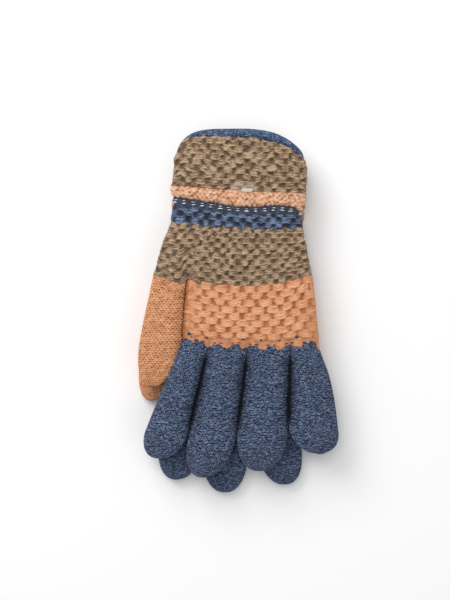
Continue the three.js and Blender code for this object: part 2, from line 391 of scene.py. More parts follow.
@dataclass
class Bobbles:
    """Staggered cups of yarn, each of a few curved strands over a soft lump."""

    half: float  # half a cup's width, as a share of the pitch
    strands: tuple = (-0.42, 0.0, 0.42)  # where they lie, in rows
    thick: float = 0.22  # half their thickness, in rows
    sag: float = 0.26  # how far their middles sag, in rows
    lump: float = 0.45  # the lump's height
    stray: float = 1.0  # how unevenly the cups lie
    taper: float = 0.34  # how soon the strands sink towards their ends

    def __call__(self, u, v, columns, seed):
        """The relief and tone where u counts bobbles round the tube and v counts rows down it."""
        table = random_table(seed, STITCH_TABLE, STITCH_TABLE, 4 + 3 * len(self.strands))
        relief, tone = np.zeros_like(u), np.zeros_like(u)
        for step in (-1, 0, 1):
            row = np.floor(v) + step
            stagger = 0.5 * (row % 2)
            column = np.round(u - stagger)
            own = table[row.astype(int) % STITCH_TABLE, (column % columns).astype(int) % STITCH_TABLE]
            across = u - column - stagger - 0.09 * self.stray * own[..., 0]
            a = across / (self.half * (1 + 0.16 * self.stray * own[..., 1]))
            b = v - row - 0.5 - 0.16 * self.stray * own[..., 2] - 0.12 * self.stray * own[..., 3] * a
            side = np.where(row < 0, 0, np.clip(1 - a * a, 0, 1))
            b = b - self.sag * (side - 0.5)
            reach = self.strands[-1] + self.thick
            body = self.lump * side**0.5 * np.clip(1 - (b / reach) ** 2, 0, 1) ** 0.5
            for k, offset in enumerate(self.strands):
                wide, proud, shade = (own[..., 4 + 3 * k + i] for i in range(3))
                c = (b - offset) / (self.thick * (1 + 0.22 * wide))
                level = (0.86 + 0.08 * k) * (1 + 0.14 * proud)
                strand = level * side**self.taper * np.clip(1 - c * c, 0, 1) ** 0.5
                tone = np.where(strand > np.maximum(relief, body), shade, tone)
                relief = np.maximum(relief, strand)
            relief = np.maximum(relief, body)
        return relief, tone


def stocking_stitch(u, v, wales, seed):
    """Columns of V-shaped stitches. u counts wales round the tube, v counts courses down it."""
    table = random_table(seed, STITCH_TABLE, STITCH_TABLE)
    wale = np.floor(u)
    leg = np.abs(u - wale - 0.5) * 2
    along = v - 0.8 * leg
    course = np.floor(along)
    which = 2 * (wale % wales) + (u - wale > 0.5)
    own = table[which.astype(int) % STITCH_TABLE, course.astype(int) % STITCH_TABLE]
    strand = np.abs(np.sin(math.pi * (along - course))) ** 0.6
    round_leg = np.clip(1 - (2 * leg - 1) ** 2, 0, 1) ** 0.5
    return (0.05 + 0.95 * strand) * (0.25 + 0.75 * round_leg) * (1 + 0.08 * own), own


# ---- the gloves and their meshes ----

GRAIN = 0.36 * 1  # the mesh's spacing over the bobble knit
FINE_GRAIN = 0.75 * GRAIN  # and over the plain knit of the digits
LOWER_GRAIN = 1.2  # the lower glove's mesh is this much coarser
ROWS_FINER = 1.2  # a mesh is this much finer down the tube than round it
# the relief that the materials read sets the yarn's painted shade in its hollows and painted highlight on
# top
VALUES = ("relief", "tone", "round_mm", "down_mm")  # what the materials read at each point
NO_FANS = np.empty((0, 3), int)


class Glove:
    """One glove's own frame: palm down, with the back of the hand on top."""

    def __init__(self, side):
        low, _ = box(f"{side}_hand_panel")
        self.side, self.mirrored = side, side == "right"
        self.low, self.shift = low[2], low[1] - box("left_hand_panel")[0][1]
        self.hand = f"{side}_hand"

    def world(self, points):
        x, y, z = points.T
        z = self.low + (thickness - z if self.mirrored else z)
        return np.stack([x, y + self.shift, np.maximum(z, 0)], -1)

    def local(self, points):
        x, y, z = points.T
        z = z - self.low
        return np.stack([x, y - self.shift, thickness - z if self.mirrored else z], -1)

    def pressed(self, normal):
        """How much of the relief is left where the glove is pressed flat."""
        palm = 1 - 0.6 * smooth(0.3, 0.9, -normal[..., 2])
        palm = palm * (0.35 + 0.65 * smooth(0.1, 0.7, np.abs(normal[..., 2])))
        return palm * (1 - 0.4 * smooth(0.3, 0.9, normal[..., 2]) if self.mirrored else 1)


def new_piece(name, points, faces, material, values):
    """A mesh object. faces are its quads and triangles, and values what its material reads."""
    quads, triangles = faces
    corners = np.concatenate([quads.ravel(), triangles.ravel()]).astype(np.int32)
    starts = [np.arange(len(quads)) * 4, quads.size + np.arange(len(triangles)) * 3]
    starts = np.concatenate(starts).astype(np.int32)
    mesh = bpy.data.meshes.new(name)
    mesh.vertices.add(len(points))
    mesh.vertices.foreach_set("co", (points * MM).astype(np.float32).ravel())
    mesh.loops.add(len(corners))
    mesh.loops.foreach_set("vertex_index", corners)
    mesh.polygons.add(len(starts))
    mesh.polygons.foreach_set("loop_start", starts)
    mesh.update(calc_edges=True)
    mesh.shade_smooth()
    for label, numbers in zip(VALUES, values):
        attribute = mesh.attributes.new(label, "FLOAT", "POINT")
        attribute.data.foreach_set("value", numbers.astype(np.float32).ravel())
    mesh.materials.append(material)
    piece = bpy.data.objects.new(name, mesh)
    bpy.context.scene.collection.objects.link(piece)
    return piece


def unit(vectors):
    return vectors / (np.linalg.norm(vectors, axis=-1, keepdims=True) + 1e-9)


def tangents(tube, u, v):
    """The directions down the tube and out of it."""
    step_u, step_v = 1e-3, 0.2
    around = unit(tube.place(u + step_u, v) - tube.place(u - step_u, v))
    down = unit(tube.place(u, v + step_v) - tube.place(u, v - step_v))
    return down, unit(np.cross(around, down))


def grid_faces(rows, columns, flip, tips=(), loop=False):
    """Quads over a grid that wraps round its columns, and a fan at each end named in tips."""
    grid = np.arange(rows * columns).reshape(rows, columns)
    if loop:
        grid = np.concatenate([grid, grid[:1]])
    right = np.roll(grid, -1, 1)
    quads = np.stack([grid[:-1], right[:-1], right[1:], grid[1:]], -1).reshape(-1, 4)
    fans = NO_FANS
    for i, end in enumerate(tips):
        centre = np.full(columns, rows * columns + i)
        pair = (grid[end], right[end]) if end else (right[end], grid[end])
        fans = np.concatenate([fans, np.stack([*pair, centre], -1)])
    return (quads[:, ::-1], fans[:, ::-1]) if flip else (quads, fans)


def knit(name, glove, tube, material, grain, pattern, start=0.0, end=None, tip=False):
    """A knitted tube, open at its ends unless it has a tip.

    pattern(u, v, points) gives millimetres out and down, the relief that sets the yarn's painted shade and
    highlight, and the tone.
    """
    end = tube.length if end is None else end
    grain = grain * (LOWER_GRAIN if glove.mirrored else 1)
    columns, rows = int(tube.girth / grain), int((end - start) / grain * ROWS_FINER)
    u, v = np.meshgrid(np.arange(columns) / columns, np.linspace(start, end, rows))
    points = tube.place(u, v)
    down, normal = tangents(tube, u, v)
    lift, drop, relief, tone = pattern(u, v, points)
    press = glove.pressed(normal)
    lift = np.where(lift > 0, lift * press, lift)
    points = points + normal * lift[..., None] + down * (drop * press)[..., None]
    points = points.reshape(-1, 3)
    values = [value.ravel() for value in (relief, tone, u * tube.girth, v)]
    if tip:
        points = np.concatenate([points, [points[-columns:].mean(0)]])
        values = [np.append(value, value[-1]) for value in values]
    faces = grid_faces(rows, columns, glove.mirrored, tips=(-1,) if tip else ())
    return new_piece(name, glove.world(points), faces, material, values)


def lining(name, glove, outer, inner, spacing, start, end, tip=False):
    """A closed shell of fleece between two tubes, open at the end unless it has a tip."""
    columns = int(outer.girth / spacing)
    v = np.linspace(start, end, int((end - start) / spacing))
    us, vs = np.meshgrid(np.arange(columns) / columns, v)
    nap = 0.25 * noise(us * columns / 2, vs / spacing / 2, columns // 2, seed=5)
    layers = []
    for tube in (inner, outer):
        points = tube.place(us, vs * tube.length / outer.length if tip else vs)
        layers.append(points + tangents(tube, us, vs)[1] * nap[..., None])
    points = np.concatenate([layers[0][::-1], layers[1]]).reshape(-1, 3)
    values = [np.concatenate([a[::-1], a]).ravel() for a in (nap, nap, us * outer.girth, vs)]
    if tip:
        points = np.concatenate([points, [points[:columns].mean(0), points[-columns:].mean(0)]])
        values = [np.append(value, (0, 0)) for value in values]
    tips = (0, -1) if tip else ()
    faces = grid_faces(2 * len(v), columns, glove.mirrored, tips, loop=not tip)
    return new_piece(name, glove.world(points), faces, navy_fleece, values)


def yarn_bits(name, glove, tube, u, v, material, seed, length, width, lift, vary=0.15):
    """Short lens-shaped floats of yarn lying round the tube at the points (u, v)."""
    random = np.random.default_rng(seed)
    sides, stations = 8, 7
    along = np.cos(np.linspace(0, math.pi, stations + 2)[1:-1])
    turn = np.arange(sides) / sides * TAU
    across = [np.outer(np.sqrt(1 - along**2), wave(turn)).ravel() for wave in (np.cos, np.sin)]
    body = np.stack([np.repeat(along, sides), *across], -1)
    body = np.concatenate([body, [[1, 0, 0], [-1, 0, 0]]])
    quads, fans = grid_faces(stations, sides, glove.mirrored, tips=(0, -1))
    places = tube.place(u, v)
    down, normal = tangents(tube, u, v)
    around = np.cross(down, normal)
    size = 1 + vary * random.uniform(-1, 1, (len(u), 3))
    tilt = 0.12 * random.uniform(-1, 1, len(u))
    axes = np.stack([around + tilt[:, None] * down, down, normal], 1)
    scaled = body * (size * (length / 2, width / 2, width / 2))[:, None]
    points = ((places + normal * lift)[:, None] + scaled @ axes).reshape(-1, 3)
    values = [np.full(len(points), 0.8), np.zeros(len(points)), points[:, 0], points[:, 1]]
    first = np.arange(len(u))[:, None, None] * len(body)
    faces = (quads + first).reshape(-1, 4), (fans + first).reshape(-1, 3)
    return new_piece(name, glove.world(points), faces, material, values)


# ---- materials ----


def linear(hex_colour):
    """A web colour as the linear red, green, blue and alpha that a shader takes."""
    parts = [int(hex_colour[i : i + 2], 16) / 255 for i in (1, 3, 5)]
    return [c / 12.92 if c < 0.04045 else ((c + 0.055) / 1.055) ** 2.4 for c in parts] + [1]


class Nodes:
    """A material's node tree, with a short way to add a node and link its inputs."""

    def __init__(self, name):
        self.material = bpy.data.materials.new(name)
        self.material.use_nodes = True
        self.tree = self.material.node_tree
        self.shader = self.tree.nodes["Principled BSDF"]

    def add(self, kind, inputs=(), **settings):
        node = self.tree.nodes.new(kind)
        for key, value in settings.items():
            setattr(node, key, value)
        for key, value in dict(inputs).items():
            if isinstance(value, bpy.types.NodeSocket):
                self.tree.links.new(value, node.inputs[key])
            else:
                node.inputs[key].default_value = value
        return node

    def link(self, source, name):
        self.tree.links.new(source, self.shader.inputs[name])

    def attribute(self, name):
        return self.add("ShaderNodeAttribute", attribute_name=name).outputs["Fac"]

    def maths(self, operation, a, b):
        return self.add("ShaderNodeMath", {0: a, 1: b}, operation=operation).outputs[0]

    def place(self, stretch=1.0):
        """A point for noise in millimetres round and down the cloth."""
        across = self.maths("MULTIPLY", self.attribute("round_mm"), stretch)
        inputs = {"X": across, "Y": self.attribute("down_mm")}
        return self.add("ShaderNodeCombineXYZ", inputs).outputs[0]

    def noise(self, vector, scale, detail, roughness=0.5):
        inputs = {"Vector": vector, "Scale": scale, "Detail": detail, "Roughness": roughness}
        return self.add("ShaderNodeTexNoise", inputs).outputs["Fac"]

    def ramp(self, factor, stops):
        node = self.add("ShaderNodeValToRGB", {"Fac": factor})
        elements = node.color_ramp.elements
        while len(elements) < len(stops):
            elements.new(0.5)
        for element, (position, colour) in zip(elements, stops):
            element.position = position
            element.color = linear(colour)
        return node.outputs["Color"]

    def multiply(self, a, b):
        """Two colours multiplied: they are the mix node's inputs 6 and 7, and 2 is its result."""
        inputs = {"Factor": 1.0, 6: a, 7: b}
        node = self.add("ShaderNodeMix", inputs, data_type="RGBA", blend_type="MULTIPLY")
        return node.outputs[2]

    def bump(self, height, strength, distance):
        node = self.add("ShaderNodeBump", {"Height": height, "Strength": strength, "Distance": distance})
        self.link(node.outputs[0], "Normal")

    def surface(self, **values):
        """Sets the shader's own values, with _ for a space in their names."""
        for name, value in values.items():
            self.shader.inputs[name.replace("_", " ")].default_value = value


def yarn(name, hollow_shade, body, ridge_highlight, melange=0.0, spin=0.4, fibre=0.5):
    """Spun yarn: painted shade between the stitches and a painted highlight on top, with fibres of its
    own.

    melange is how much one stitch's colour differs from the next one's, and spin how much it
    differs along the yarn.
    """
    nodes = Nodes(name)
    cloth = nodes.place(0.5)
    rise = nodes.maths("ADD", nodes.attribute("relief"), -0.5 * spin)
    rise = nodes.maths("ADD", rise, nodes.maths("MULTIPLY", nodes.attribute("tone"), melange))
    spun = nodes.noise(cloth, 1.4, detail=3, roughness=0.65)
    rise = nodes.maths("ADD", rise, nodes.maths("MULTIPLY", spun, spin))
    # the ramp by relief paints shade in the hollows and a highlight on the tops of the stitches
    colour = nodes.ramp(rise, [(0.08, hollow_shade), (0.5, body), (1.0, ridge_highlight)])
    soft = nodes.noise(nodes.place(), 0.08, detail=2)
    light = nodes.maths("ADD", nodes.maths("MULTIPLY", soft, 0.16), 0.88)
    shade = nodes.add("ShaderNodeCombineColor", {0: light, 1: light, 2: light}).outputs[0]
    nodes.link(nodes.multiply(colour, shade), "Base Color")
    nodes.bump(nodes.noise(cloth, 5.0, detail=4, roughness=0.7), fibre, 0.0004)
    nodes.surface(Roughness=0.92, Specular_IOR_Level=0.12, Sheen_Weight=0.05, Sheen_Roughness=0.45)
    return nodes.material


navy_digit = yarn("navy_melange_yarn", "#10131b", "#3f4a60", "#8a9dbf", melange=0.07, spin=0.15)
navy_float = yarn("navy_float_yarn", "#1c2333", "#2f3950", "#46536f")
navy_bobble = yarn("navy_bobble_yarn", "#282f3f", "#414959", "#7889a6", melange=0.1, spin=0.7)
navy_rim = yarn("navy_rim_yarn", "#171d2a", "#495a76", "#869bbd", melange=0.1, spin=0.5)
navy_fleece = yarn("navy_fleece", "#161b25", "#2c3548", "#47566e", fibre=1.0)
tan_yarn = yarn("tan_yarn", "#5c4c3d", "#846c57", "#bba184", melange=0.14, spin=0.8)
peach_yarn = yarn("peach_yarn", "#a36a46", "#cf8f67", "#e7ae88", melange=0.08, spin=0.6)
peach_thumb = yarn("peach_plain_yarn", "#8f5836", "#cc8f67", "#eab692", melange=0.08)
peach_roll = yarn("peach_roll_yarn", "#9c6646", "#c78f6b", "#ecc3a6", melange=0.1, spin=0.6)
white_yarn = yarn("white_elastic_yarn", "#a9a698", "#e6e3d8", "#fbfaf4")


def clear_plastic(name, alpha):
    """Thin clear film, a little scuffed."""
    nodes = Nodes(name)
    nodes.surface(Base_Color=linear("#e9dccd"), Roughness=0.14, Alpha=alpha)
    nodes.bump(nodes.noise(nodes.place(), 0.8, detail=3), 0.2, 0.0002)
    return nodes.material


clear_film = clear_plastic("clear_film", 0.07)
clear_edge = clear_plastic("clear_edge", 0.26)
# the fold is a bend of the film, drawn whiter and more opaque as a painted highlight of its glare
clear_fold_painted_glare = clear_plastic("clear_fold_painted_glare", 0.5)


# ---- the camera, the light and the floor come first ----

VIEW_HEIGHT = 390  # what the camera takes in from top to bottom
VIEW_CENTRE = (-8.4, 6.5)
LENS, SENSOR = 100, 36
WORLD_LIGHT = 0.52
LAMPS = (  # names, places and sizes in metres, and watts
    ("key_light", (-0.5, 0.7, 0.75), 0.7, 7.4),
    ("fill_light", (0.5, -0.6, 0.9), 0.9, 1.2),
    ("top_light", (-0.1, 0.42, 1.5), 0.6, 4.8),
)
FLOOR_SIZE = 6000
FLOOR_GAP = 0.6  # the floor is this far below the lowest stitches


def camera_and_light():
    scene = bpy.context.scene
    scene.view_settings.view_transform = "Standard"
    lens = bpy.data.cameras.new("camera")
    lens.lens, lens.sensor_width = LENS, SENSOR
    lens.clip_start, lens.clip_end = 0.01, 10
    camera = bpy.data.objects.new("camera", lens)
    top = cad_bounds[1].z / MM
    camera.location = [c * MM for c in (*VIEW_CENTRE, top + VIEW_HEIGHT * LENS / SENSOR)]
    scene.collection.objects.link(camera)
    scene.camera = camera

    world = bpy.data.worlds.new("studio")
    world.use_nodes = True
    background = world.node_tree.nodes["Background"]
    background.inputs["Color"].default_value = (1, 1, 1, 1)
    background.inputs["Strength"].default_value = WORLD_LIGHT
    scene.world = world
    for name, place, size, watts in LAMPS:
        lamp = bpy.data.lights.new(name, "AREA")
        lamp.size, lamp.energy = size, watts
        light = bpy.data.objects.new(name, lamp)
        light.location = place
        aim = -light.location
        light.rotation_euler = aim.to_track_quat("-Z", "Y").to_euler()
        scene.collection.objects.link(light)


def floor():
    mesh = bpy.data.meshes.new("floor")
    reach = FLOOR_SIZE / 2 * MM
    corners = [(x * reach, y * reach, -FLOOR_GAP * MM) for x, y in ((-1, -1), (1, -1), (1, 1), (-1, 1))]
    mesh.from_pydata(corners, [], [(0, 1, 2, 3)])
    nodes = Nodes("white_table")
    nodes.surface(Base_Color=(0.97, 0.97, 0.97, 1), Roughness=0.9)
    mesh.materials.append(nodes.material)
    plane = bpy.data.objects.new("floor", mesh)
    bpy.context.scene.collection.objects.link(plane)


camera_and_light()
floor()

# ---- stitch patterns laid on the tubes ----

GROUND = (2.1, 1.7)  # the small stitches between the bobbles, round the tube and down it
TUCK = 2.6  # each tube runs on under its neighbour by this much
SINK = 1.9  # and dips by this much there
REACH = 2.4  # no edge runs further than this past its seam
PANEL_EDGE = 14  # the panel's waist is further than this from both its seams
NEIGHBOURS = 3.5  # fingers nearer each other than this are pressed together


def level_edge(x):
    return 0.0


def tucked(past):
    """How deep a tube lies this far past the edge of a neighbour that runs over it."""
    return SINK * smooth(-0.3, 0.6 * TUCK, past)


def tucked_ends(tube, x, v, edges):
    return tucked(edges[0](x) - v) + tucked(v - tube.length - edges[1](x))


def soften(values, times=1):
    """Blurs a grid that is closed round the tube."""
    for _ in range(times):
        values = 0.5 * values + 0.25 * (np.roll(values, 1, 1) + np.roll(values, -1, 1))
        ends = np.concatenate([values[:1], values, values[-1:]])
        values = 0.5 * values + 0.25 * (ends[:-2] + ends[2:])
    return values


def puckers(u, v, tube, size, seed):
    """The cloth's own soft unevenness."""
    period = max(2, round(tube.girth / size))
    return noise(u * period, v / size, period, seed)


def fibres(u, v, tube, seed):
    """The yarn's own small lumps."""
    return puckers(u, v, tube, 1.5, seed) + 0.6 * puckers(u, v, tube, 0.8, seed + 1)


def bobble_knit(
    tube, size, bobbles, relief, seed, edges, line=None, first=0.0, mask=None, shadow=None, fluff=1.0
):
    """Bobbles, size (across, down), from `first` millimetres below the tube's start or a line.

    mask(x, v) is how much of them shows, and shadow(x, v) darkens the yarn.
    """
    columns = round(tube.girth / size[0])
    wales = round(tube.girth / GROUND[0])

    def pattern(u, v, points):
        x, y = points[..., 0], points[..., 1]
        down = v if line is None else line(x) - y
        wander = 0.13 * noise(u * 30, v / 7, 30, seed + 1) + 0.07 * puckers(u, v, tube, 2.2, seed + 5)
        around = u * columns + bobbles.stray * wander
        wander = 0.2 * noise(u * 24, v / 8, 24, seed + 3) + 0.16 * puckers(u, v, tube, 2.4, seed + 6)
        rows = (down - first) / size[1] + bobbles.stray * wander
        fine, tone = bobbles(around, rows, columns, seed)
        height = 1.1 * soften(fine, 2)
        part = mask(x, v) if mask else 1.0
        ground, _ = stocking_stitch(u * wales, down / GROUND[1], wales, seed)
        plain = soften(ground) * (1 - 0.8 * part * smooth(0, 0.4, height))
        grit = fibres(u, v, tube, seed + 4)
        soft = 0.35 * puckers(u, v, tube, 14, seed + 2)
        lift = relief * part * height + 0.35 * plain + 0.2 * fluff * grit + soft
        lift = lift - tucked_ends(tube, x, v, edges)
        # shade is painted shade and highlight: darker in the hollows, paler on the cups and fibre lumps,
        # by their height
        shade = part * (0.55 * height + 0.45 * fine**2) + 0.12 * fluff * grit
        shade = shade + (0.25 * part + 0.7 * (1 - part)) * plain
        if shadow:
            shade = shade - shadow(x, v)
        return lift, 0.45 * part * height, shade, tone

    return pattern


LEAD_ROWS = 8  # stitches run on this many rows above a seam


def fine_knit(
    stitch, tube, size, relief, seed, shadow, contrast, dark=1.0, edge=level_edge, stray=1.0
):
    """Small stitches, size (across, down).

    stray bends their rows and contrast deepens their painted shade and highlight. shadow(u, v) adds
    painted shade, dark times.
    """
    wales = round(tube.girth / size[0])

    def pattern(u, v, points):
        around = u * wales + 0.25 * stray * puckers(u, v, tube, 3, seed + 3)
        courses = v / size[1] + LEAD_ROWS + 0.45 * stray * puckers(u, v, tube, 3.4, seed + 4)
        height, tone = stitch(around, courses, wales, seed)
        height = soften(height)
        closing = 0.3 + 0.7 * smooth(0, 6, tube.length - v)
        lumps = 0.35 * puckers(u, v, tube, 12, seed + 2)
        # shade is painted shade and highlight by the height of the stitches
        shade = np.clip(0.5 + closing * contrast * (height - height.mean()), 0, 1.25)
        shade = shade * (0.8 + 0.2 * closing)
        lift = relief * closing * height + lumps - tucked(edge(points[..., 0]) - v)
        return lift, np.zeros_like(v), shade - dark * shadow(u, v), tone

    return pattern


def rolled(tube, size, relief, bulge, seed, edges):
    """Loops of yarn, size (across, down), over a roll that bulges out."""
    columns = round(tube.girth / size[0])
    loops = Bobbles(half=0.54, strands=(-0.2, 0.3), thick=0.36, sag=0.5, lump=0.45, stray=1.8)

    def pattern(u, v, points):
        share = np.clip(v / tube.length, 0, 1)
        around = u * columns + 0.1 * puckers(u, v, tube, 3, seed + 1)
        rows = v / size[1] + 0.3 + 0.14 * puckers(u, v, tube, 3, seed + 3)
        height, tone = loops(around, rows, columns, seed)
        height = soften(height, 2)
        arch = bulge * np.sqrt(np.clip(1 - (2 * share - 1) ** 2, 0, 1))
        grit = fibres(u, v, tube, seed + 4)
        lumps = 0.4 * puckers(u, v, tube, 6, seed + 2) + 0.3 * grit
        lift = arch + relief * height + lumps - tucked_ends(tube, points[..., 0], v, edges)
        # the third value is painted shade and highlight by the height of the loops
        return lift, 0.3 * share + 0.3 * height, height + 0.22 * grit, tone

    return pattern


# ---- one glove ----

DIGITS = ("thumb", "index_finger", "middle_finger", "ring_finger", "little_finger")
LITTLE_BULGE = 2.0  # the little finger swells by this much
LOWER_TIPS = 1.8  # the lower glove's fingers are this much longer
BEND = (3, 9)  # two places along a digit, this far before its base and this far past it
SEAM_OVERHANG = TUCK + REACH
# the stitches of each part, round the tube and down it
CUFF_BOBBLES, CUFF_ROWS = (8.2, 3.7), 12
STRIPE_BOBBLES, PLAIN_END = (8.2, 3.6), (4.4, 5.8)  # the stripe starts plain
PANEL_BOBBLES, HAND_BOBBLES = (8.3, 3.5), (10.6, 4.3)
RIM_STITCHES, ROLL_LOOPS = (2.1, 1.5), (3.1, 2.1)
purl = Bobbles(half=0.6, strands=(0.0,), thick=0.6, sag=-0.45, lump=0.3, stray=0.6)
loose_purl = Bobbles(half=0.56, strands=(0.0,), thick=0.5, sag=-0.4, lump=0.25, stray=1.4)
# dark is how deep the painted shade in the creases between digits lies
THUMB_KNIT = dict(stitch=purl, size=(2.3, 1.45), relief=1.0, contrast=1.35, dark=0.5, stray=0.4)
FINGER_KNIT = dict(
    stitch=loose_purl, size=(1.75, 1.08), relief=0.75, contrast=1.0, dark=0.65, stray=0.5
)
ELASTIC_PITCH = 6.0
ELASTIC_FLOATS = ((1.9, 0.4), (2.7, 0.62))  # length and width in each row
HAND_FLEECE, DIGIT_FLEECE = (3.0, 4.0), (2.4, 3.2)  # how deep the lining's two faces lie


def stand_for(piece, body, slot, *nodes):
    """piece rides on body and stands for the CAD nodes, which it hides. body is a name; if it is two names
    and a place instead, the piece is only fixed where it lies.
    """
    if isinstance(body, str):
        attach(piece, body)
    else:
        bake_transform(piece)
    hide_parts(*nodes)


def hand_tubes(crease, forks):
    """The tubes of the hand and cuff, by name."""
    panel = node_points("left_wrist_panel")
    waist = panel[(panel[:, 1] > hand_top.s + PANEL_EDGE) & (panel[:, 1] < stripe_bottom.s - PANEL_EDGE)]
    waist = waist[[waist[:, 0].argmin(), waist[:, 0].argmax()]]
    seams = (roll_top, roll_bottom, stripe_bottom)
    down = [hem_high[1], hem_high[1] - 30, *(seam.s for seam in seams), waist[0, 1], panel_low[1] - 3]
    left = [hem_low[0], hem_low[0] - 1, *(seam.left for seam in seams), waist[0, 0], panel_low[0]]
    right = [hem_high[0], hem_high[0], *(seam.right for seam in seams), waist[1, 0], panel_high[0]]
    sides = (curve_through(down, left), curve_through(down, right))
    down = [hand_top.s, knuckles.s]
    hand_left = curve_through(down, [hand_top.left, knuckles.left])
    hand_right = curve_through(down, [hand_top.right, knuckles.right])

    def mouth_dip(x, v):
        return MOUTH_FLATNESS + (1 - MOUTH_FLATNESS) * smooth(0, 30, v)

    def groove(x, middle, width):
        return np.exp(-(((x - middle) / width) ** 2))

    def crease_dip(x, v):
        past = v - (stripe_bottom.s - hand_top.s)
        narrow = 1 - 0.7 * groove(x, crease, 2.4) * smooth(-8, 0, past)
        return narrow * (1 - 0.3 * groove(x, crease, 7) * smooth(0.4, 2, past))

    def fork_dip(x, v):
        past = v - (hand_top.s - knuckles.s)
        grooves = sum(groove(x, fork, 2.6) for fork in forks)
        return 1 - grooves * (0.3 * smooth(-6, 1, past) + 0.4 * smooth(0.5, 3, past))

    cuff = (mouth_line, hand_top.line, *sides)
    hand = (hand_top.line, knuckles.line, hand_left, hand_right)
    return {
        "band": HandTube(band_line, roll_top.line, *sides, mouth_dip),
        "roll": HandTube(roll_top.line, roll_bottom.line, *sides),
        "stripe": HandTube(roll_bottom.line, stripe_bottom.line, *sides),
        "panel": HandTube(stripe_bottom.line, hand_top.line, *sides, crease_dip),
        "hand": HandTube(*hand, fork_dip),
        "cuff_lining": [HandTube(*cuff, inset=depth) for depth in HAND_FLEECE],
        "hand_lining": [HandTube(*hand, inset=depth) for depth in HAND_FLEECE],
    }


def hand_pieces(glove, tubes, seed):
    """The knitted outside of the hand and cuff, from the mouth to the knuckles."""
    band, roll, stripe, panel, palm = (tubes[name] for name in ("band", "roll", "stripe", "panel", "hand"))
    rim = RimTube()
    lip = rim.INNER + math.pi * rim.LIP

    def cover(node, tube, material, slot, pattern, start=-SEAM_OVERHANG):
        end = tube.length + SEAM_OVERHANG
        piece = knit(f"{glove.side}_{node}_knit", glove, tube, material, GRAIN, pattern, start, end)
        stand_for(piece, glove.hand, slot, f"{glove.side}_{node}")

    def rim_shadow(u, v):
        inside = 1 - smooth(rim.INNER - 1.4, rim.INNER + 0.5, v)
        return 0.6 * inside + 0.16 * smooth(lip + 0.6, lip + 2.6, v)

    def stripe_mask(x, v):
        return smooth(*PLAIN_END, v)

    def panel_mask(x, v):
        return 0.55 + 0.45 * smooth(panel_low[0] + 3, panel_low[0] + 16, x + 0.25 * v)

    def hand_mask(x, v):
        sides = smooth(hand_top.left + 1, hand_top.left + 12, x) * smooth(knuckles.right, 40, x)
        return (0.4 + 0.6 * sides) * (1 - 0.8 * smooth(palm.length - 7, palm.length - 4, v))

    # painted shade along the hand's edge beside the thumb, where the panel rounds over it
    def painted_shade_beside_thumb(x, v):
        from_side = x - palm.left(palm.start(0.0) - v)
        return 0.6 * (1 - smooth(0.6, 3.2, from_side))

    pattern = fine_knit(stocking_stitch, rim, RIM_STITCHES, 0.4, seed, rim_shadow, contrast=2.0)
    piece = knit(f"{glove.side}_cuff_rim", glove, rim, navy_rim, GRAIN, pattern)
    stand_for(piece, glove.hand, "navy_yarn", f"{glove.side}_cuff_hem")

    line = roll_top.line + CUFF_ROWS * CUFF_BOBBLES[1]
    cups = Bobbles(half=0.45, stray=1.1, lump=0.52, taper=0.6)
    looks = dict(edges=(band_edge, roll_top.edge), line=line, fluff=1.7)
    pattern = bobble_knit(band, CUFF_BOBBLES, cups, 1.9, seed + 10, **looks)
    cover("cuff_band", band, tan_yarn, "tan_yarn", pattern, start=-1.6)

    pattern = rolled(roll, ROLL_LOOPS, 1.0, 2.3, seed + 20, (roll_top.edge, roll_bottom.edge))
    cover("rolled_welt", roll, peach_roll, "peach_yarn", pattern)

    looks = dict(edges=(roll_bottom.edge, stripe_bottom.edge), first=-0.8, mask=stripe_mask)
    pattern = bobble_knit(stripe, STRIPE_BOBBLES, Bobbles(half=0.42, taper=0.55), 2.0, seed + 30, **looks)
    cover("wrist_stripe", stripe, navy_bobble, "navy_yarn", pattern)

    cups = Bobbles(half=0.45, stray=0.8, lump=0.52, taper=0.6)
    looks = dict(edges=(stripe_bottom.edge, hand_top.edge), mask=panel_mask, fluff=1.7)
    pattern = bobble_knit(panel, PANEL_BOBBLES, cups, 1.8, seed + 40, **looks)
    cover("wrist_panel", panel, tan_yarn, "tan_yarn", pattern)

    strands = (-0.40, -0.03, 0.32)
    cups = Bobbles(half=0.46, strands=strands, thick=0.21, sag=0.34, lump=0.6, stray=0.5, taper=0.45)
    looks = dict(edges=(hand_top.edge, knuckles.edge), mask=hand_mask, shadow=painted_shade_beside_thumb, fluff=1.2)
    pattern = bobble_knit(palm, HAND_BOBBLES, cups, 1.9, seed + 50, **looks)
    cover("hand_panel", palm, peach_yarn, "peach_yarn", pattern)


def elastic_threads(glove, stripe, seed):
    """Two rows of short white floats, just below the roll."""
    count = round(stripe.girth / ELASTIC_PITCH)
    random = np.random.default_rng(seed)
    for row, (length, width) in enumerate(ELASTIC_FLOATS):
        node = f"{glove.side}_elastic_thread_{row + 1}"
        points = glove.local(node_points(node))
        drop = roll_bottom.s - np.polyfit(points[:, 0], points[:, 1], 2)[2]
        u = (np.arange(count) + 0.07 * random.uniform(-1, 1, count)) / count
        v = np.full(count, drop)
        name = f"{glove.side}_elastic_floats_{row + 1}"
        size = dict(length=length, width=width, lift=0.6, vary=0.3)
        piece = yarn_bits(name, glove, stripe, u, v, white_yarn, seed + row, **size)
        stand_for(piece, glove.hand, "white_elastic", node)


TOP = (0.26, 0.74)  # the shares round a tube that its top takes up


def share_at(tube, x, v, top):
    """The shares round the tube where it crosses x, on its top or underside."""
    u = np.linspace(*TOP, 400) + (0 if top else 0.5)
    places = tube.place(u, np.full(len(u), v))[:, 0]
    order = np.argsort(places)
    return np.interp(x, places[order], u[order])


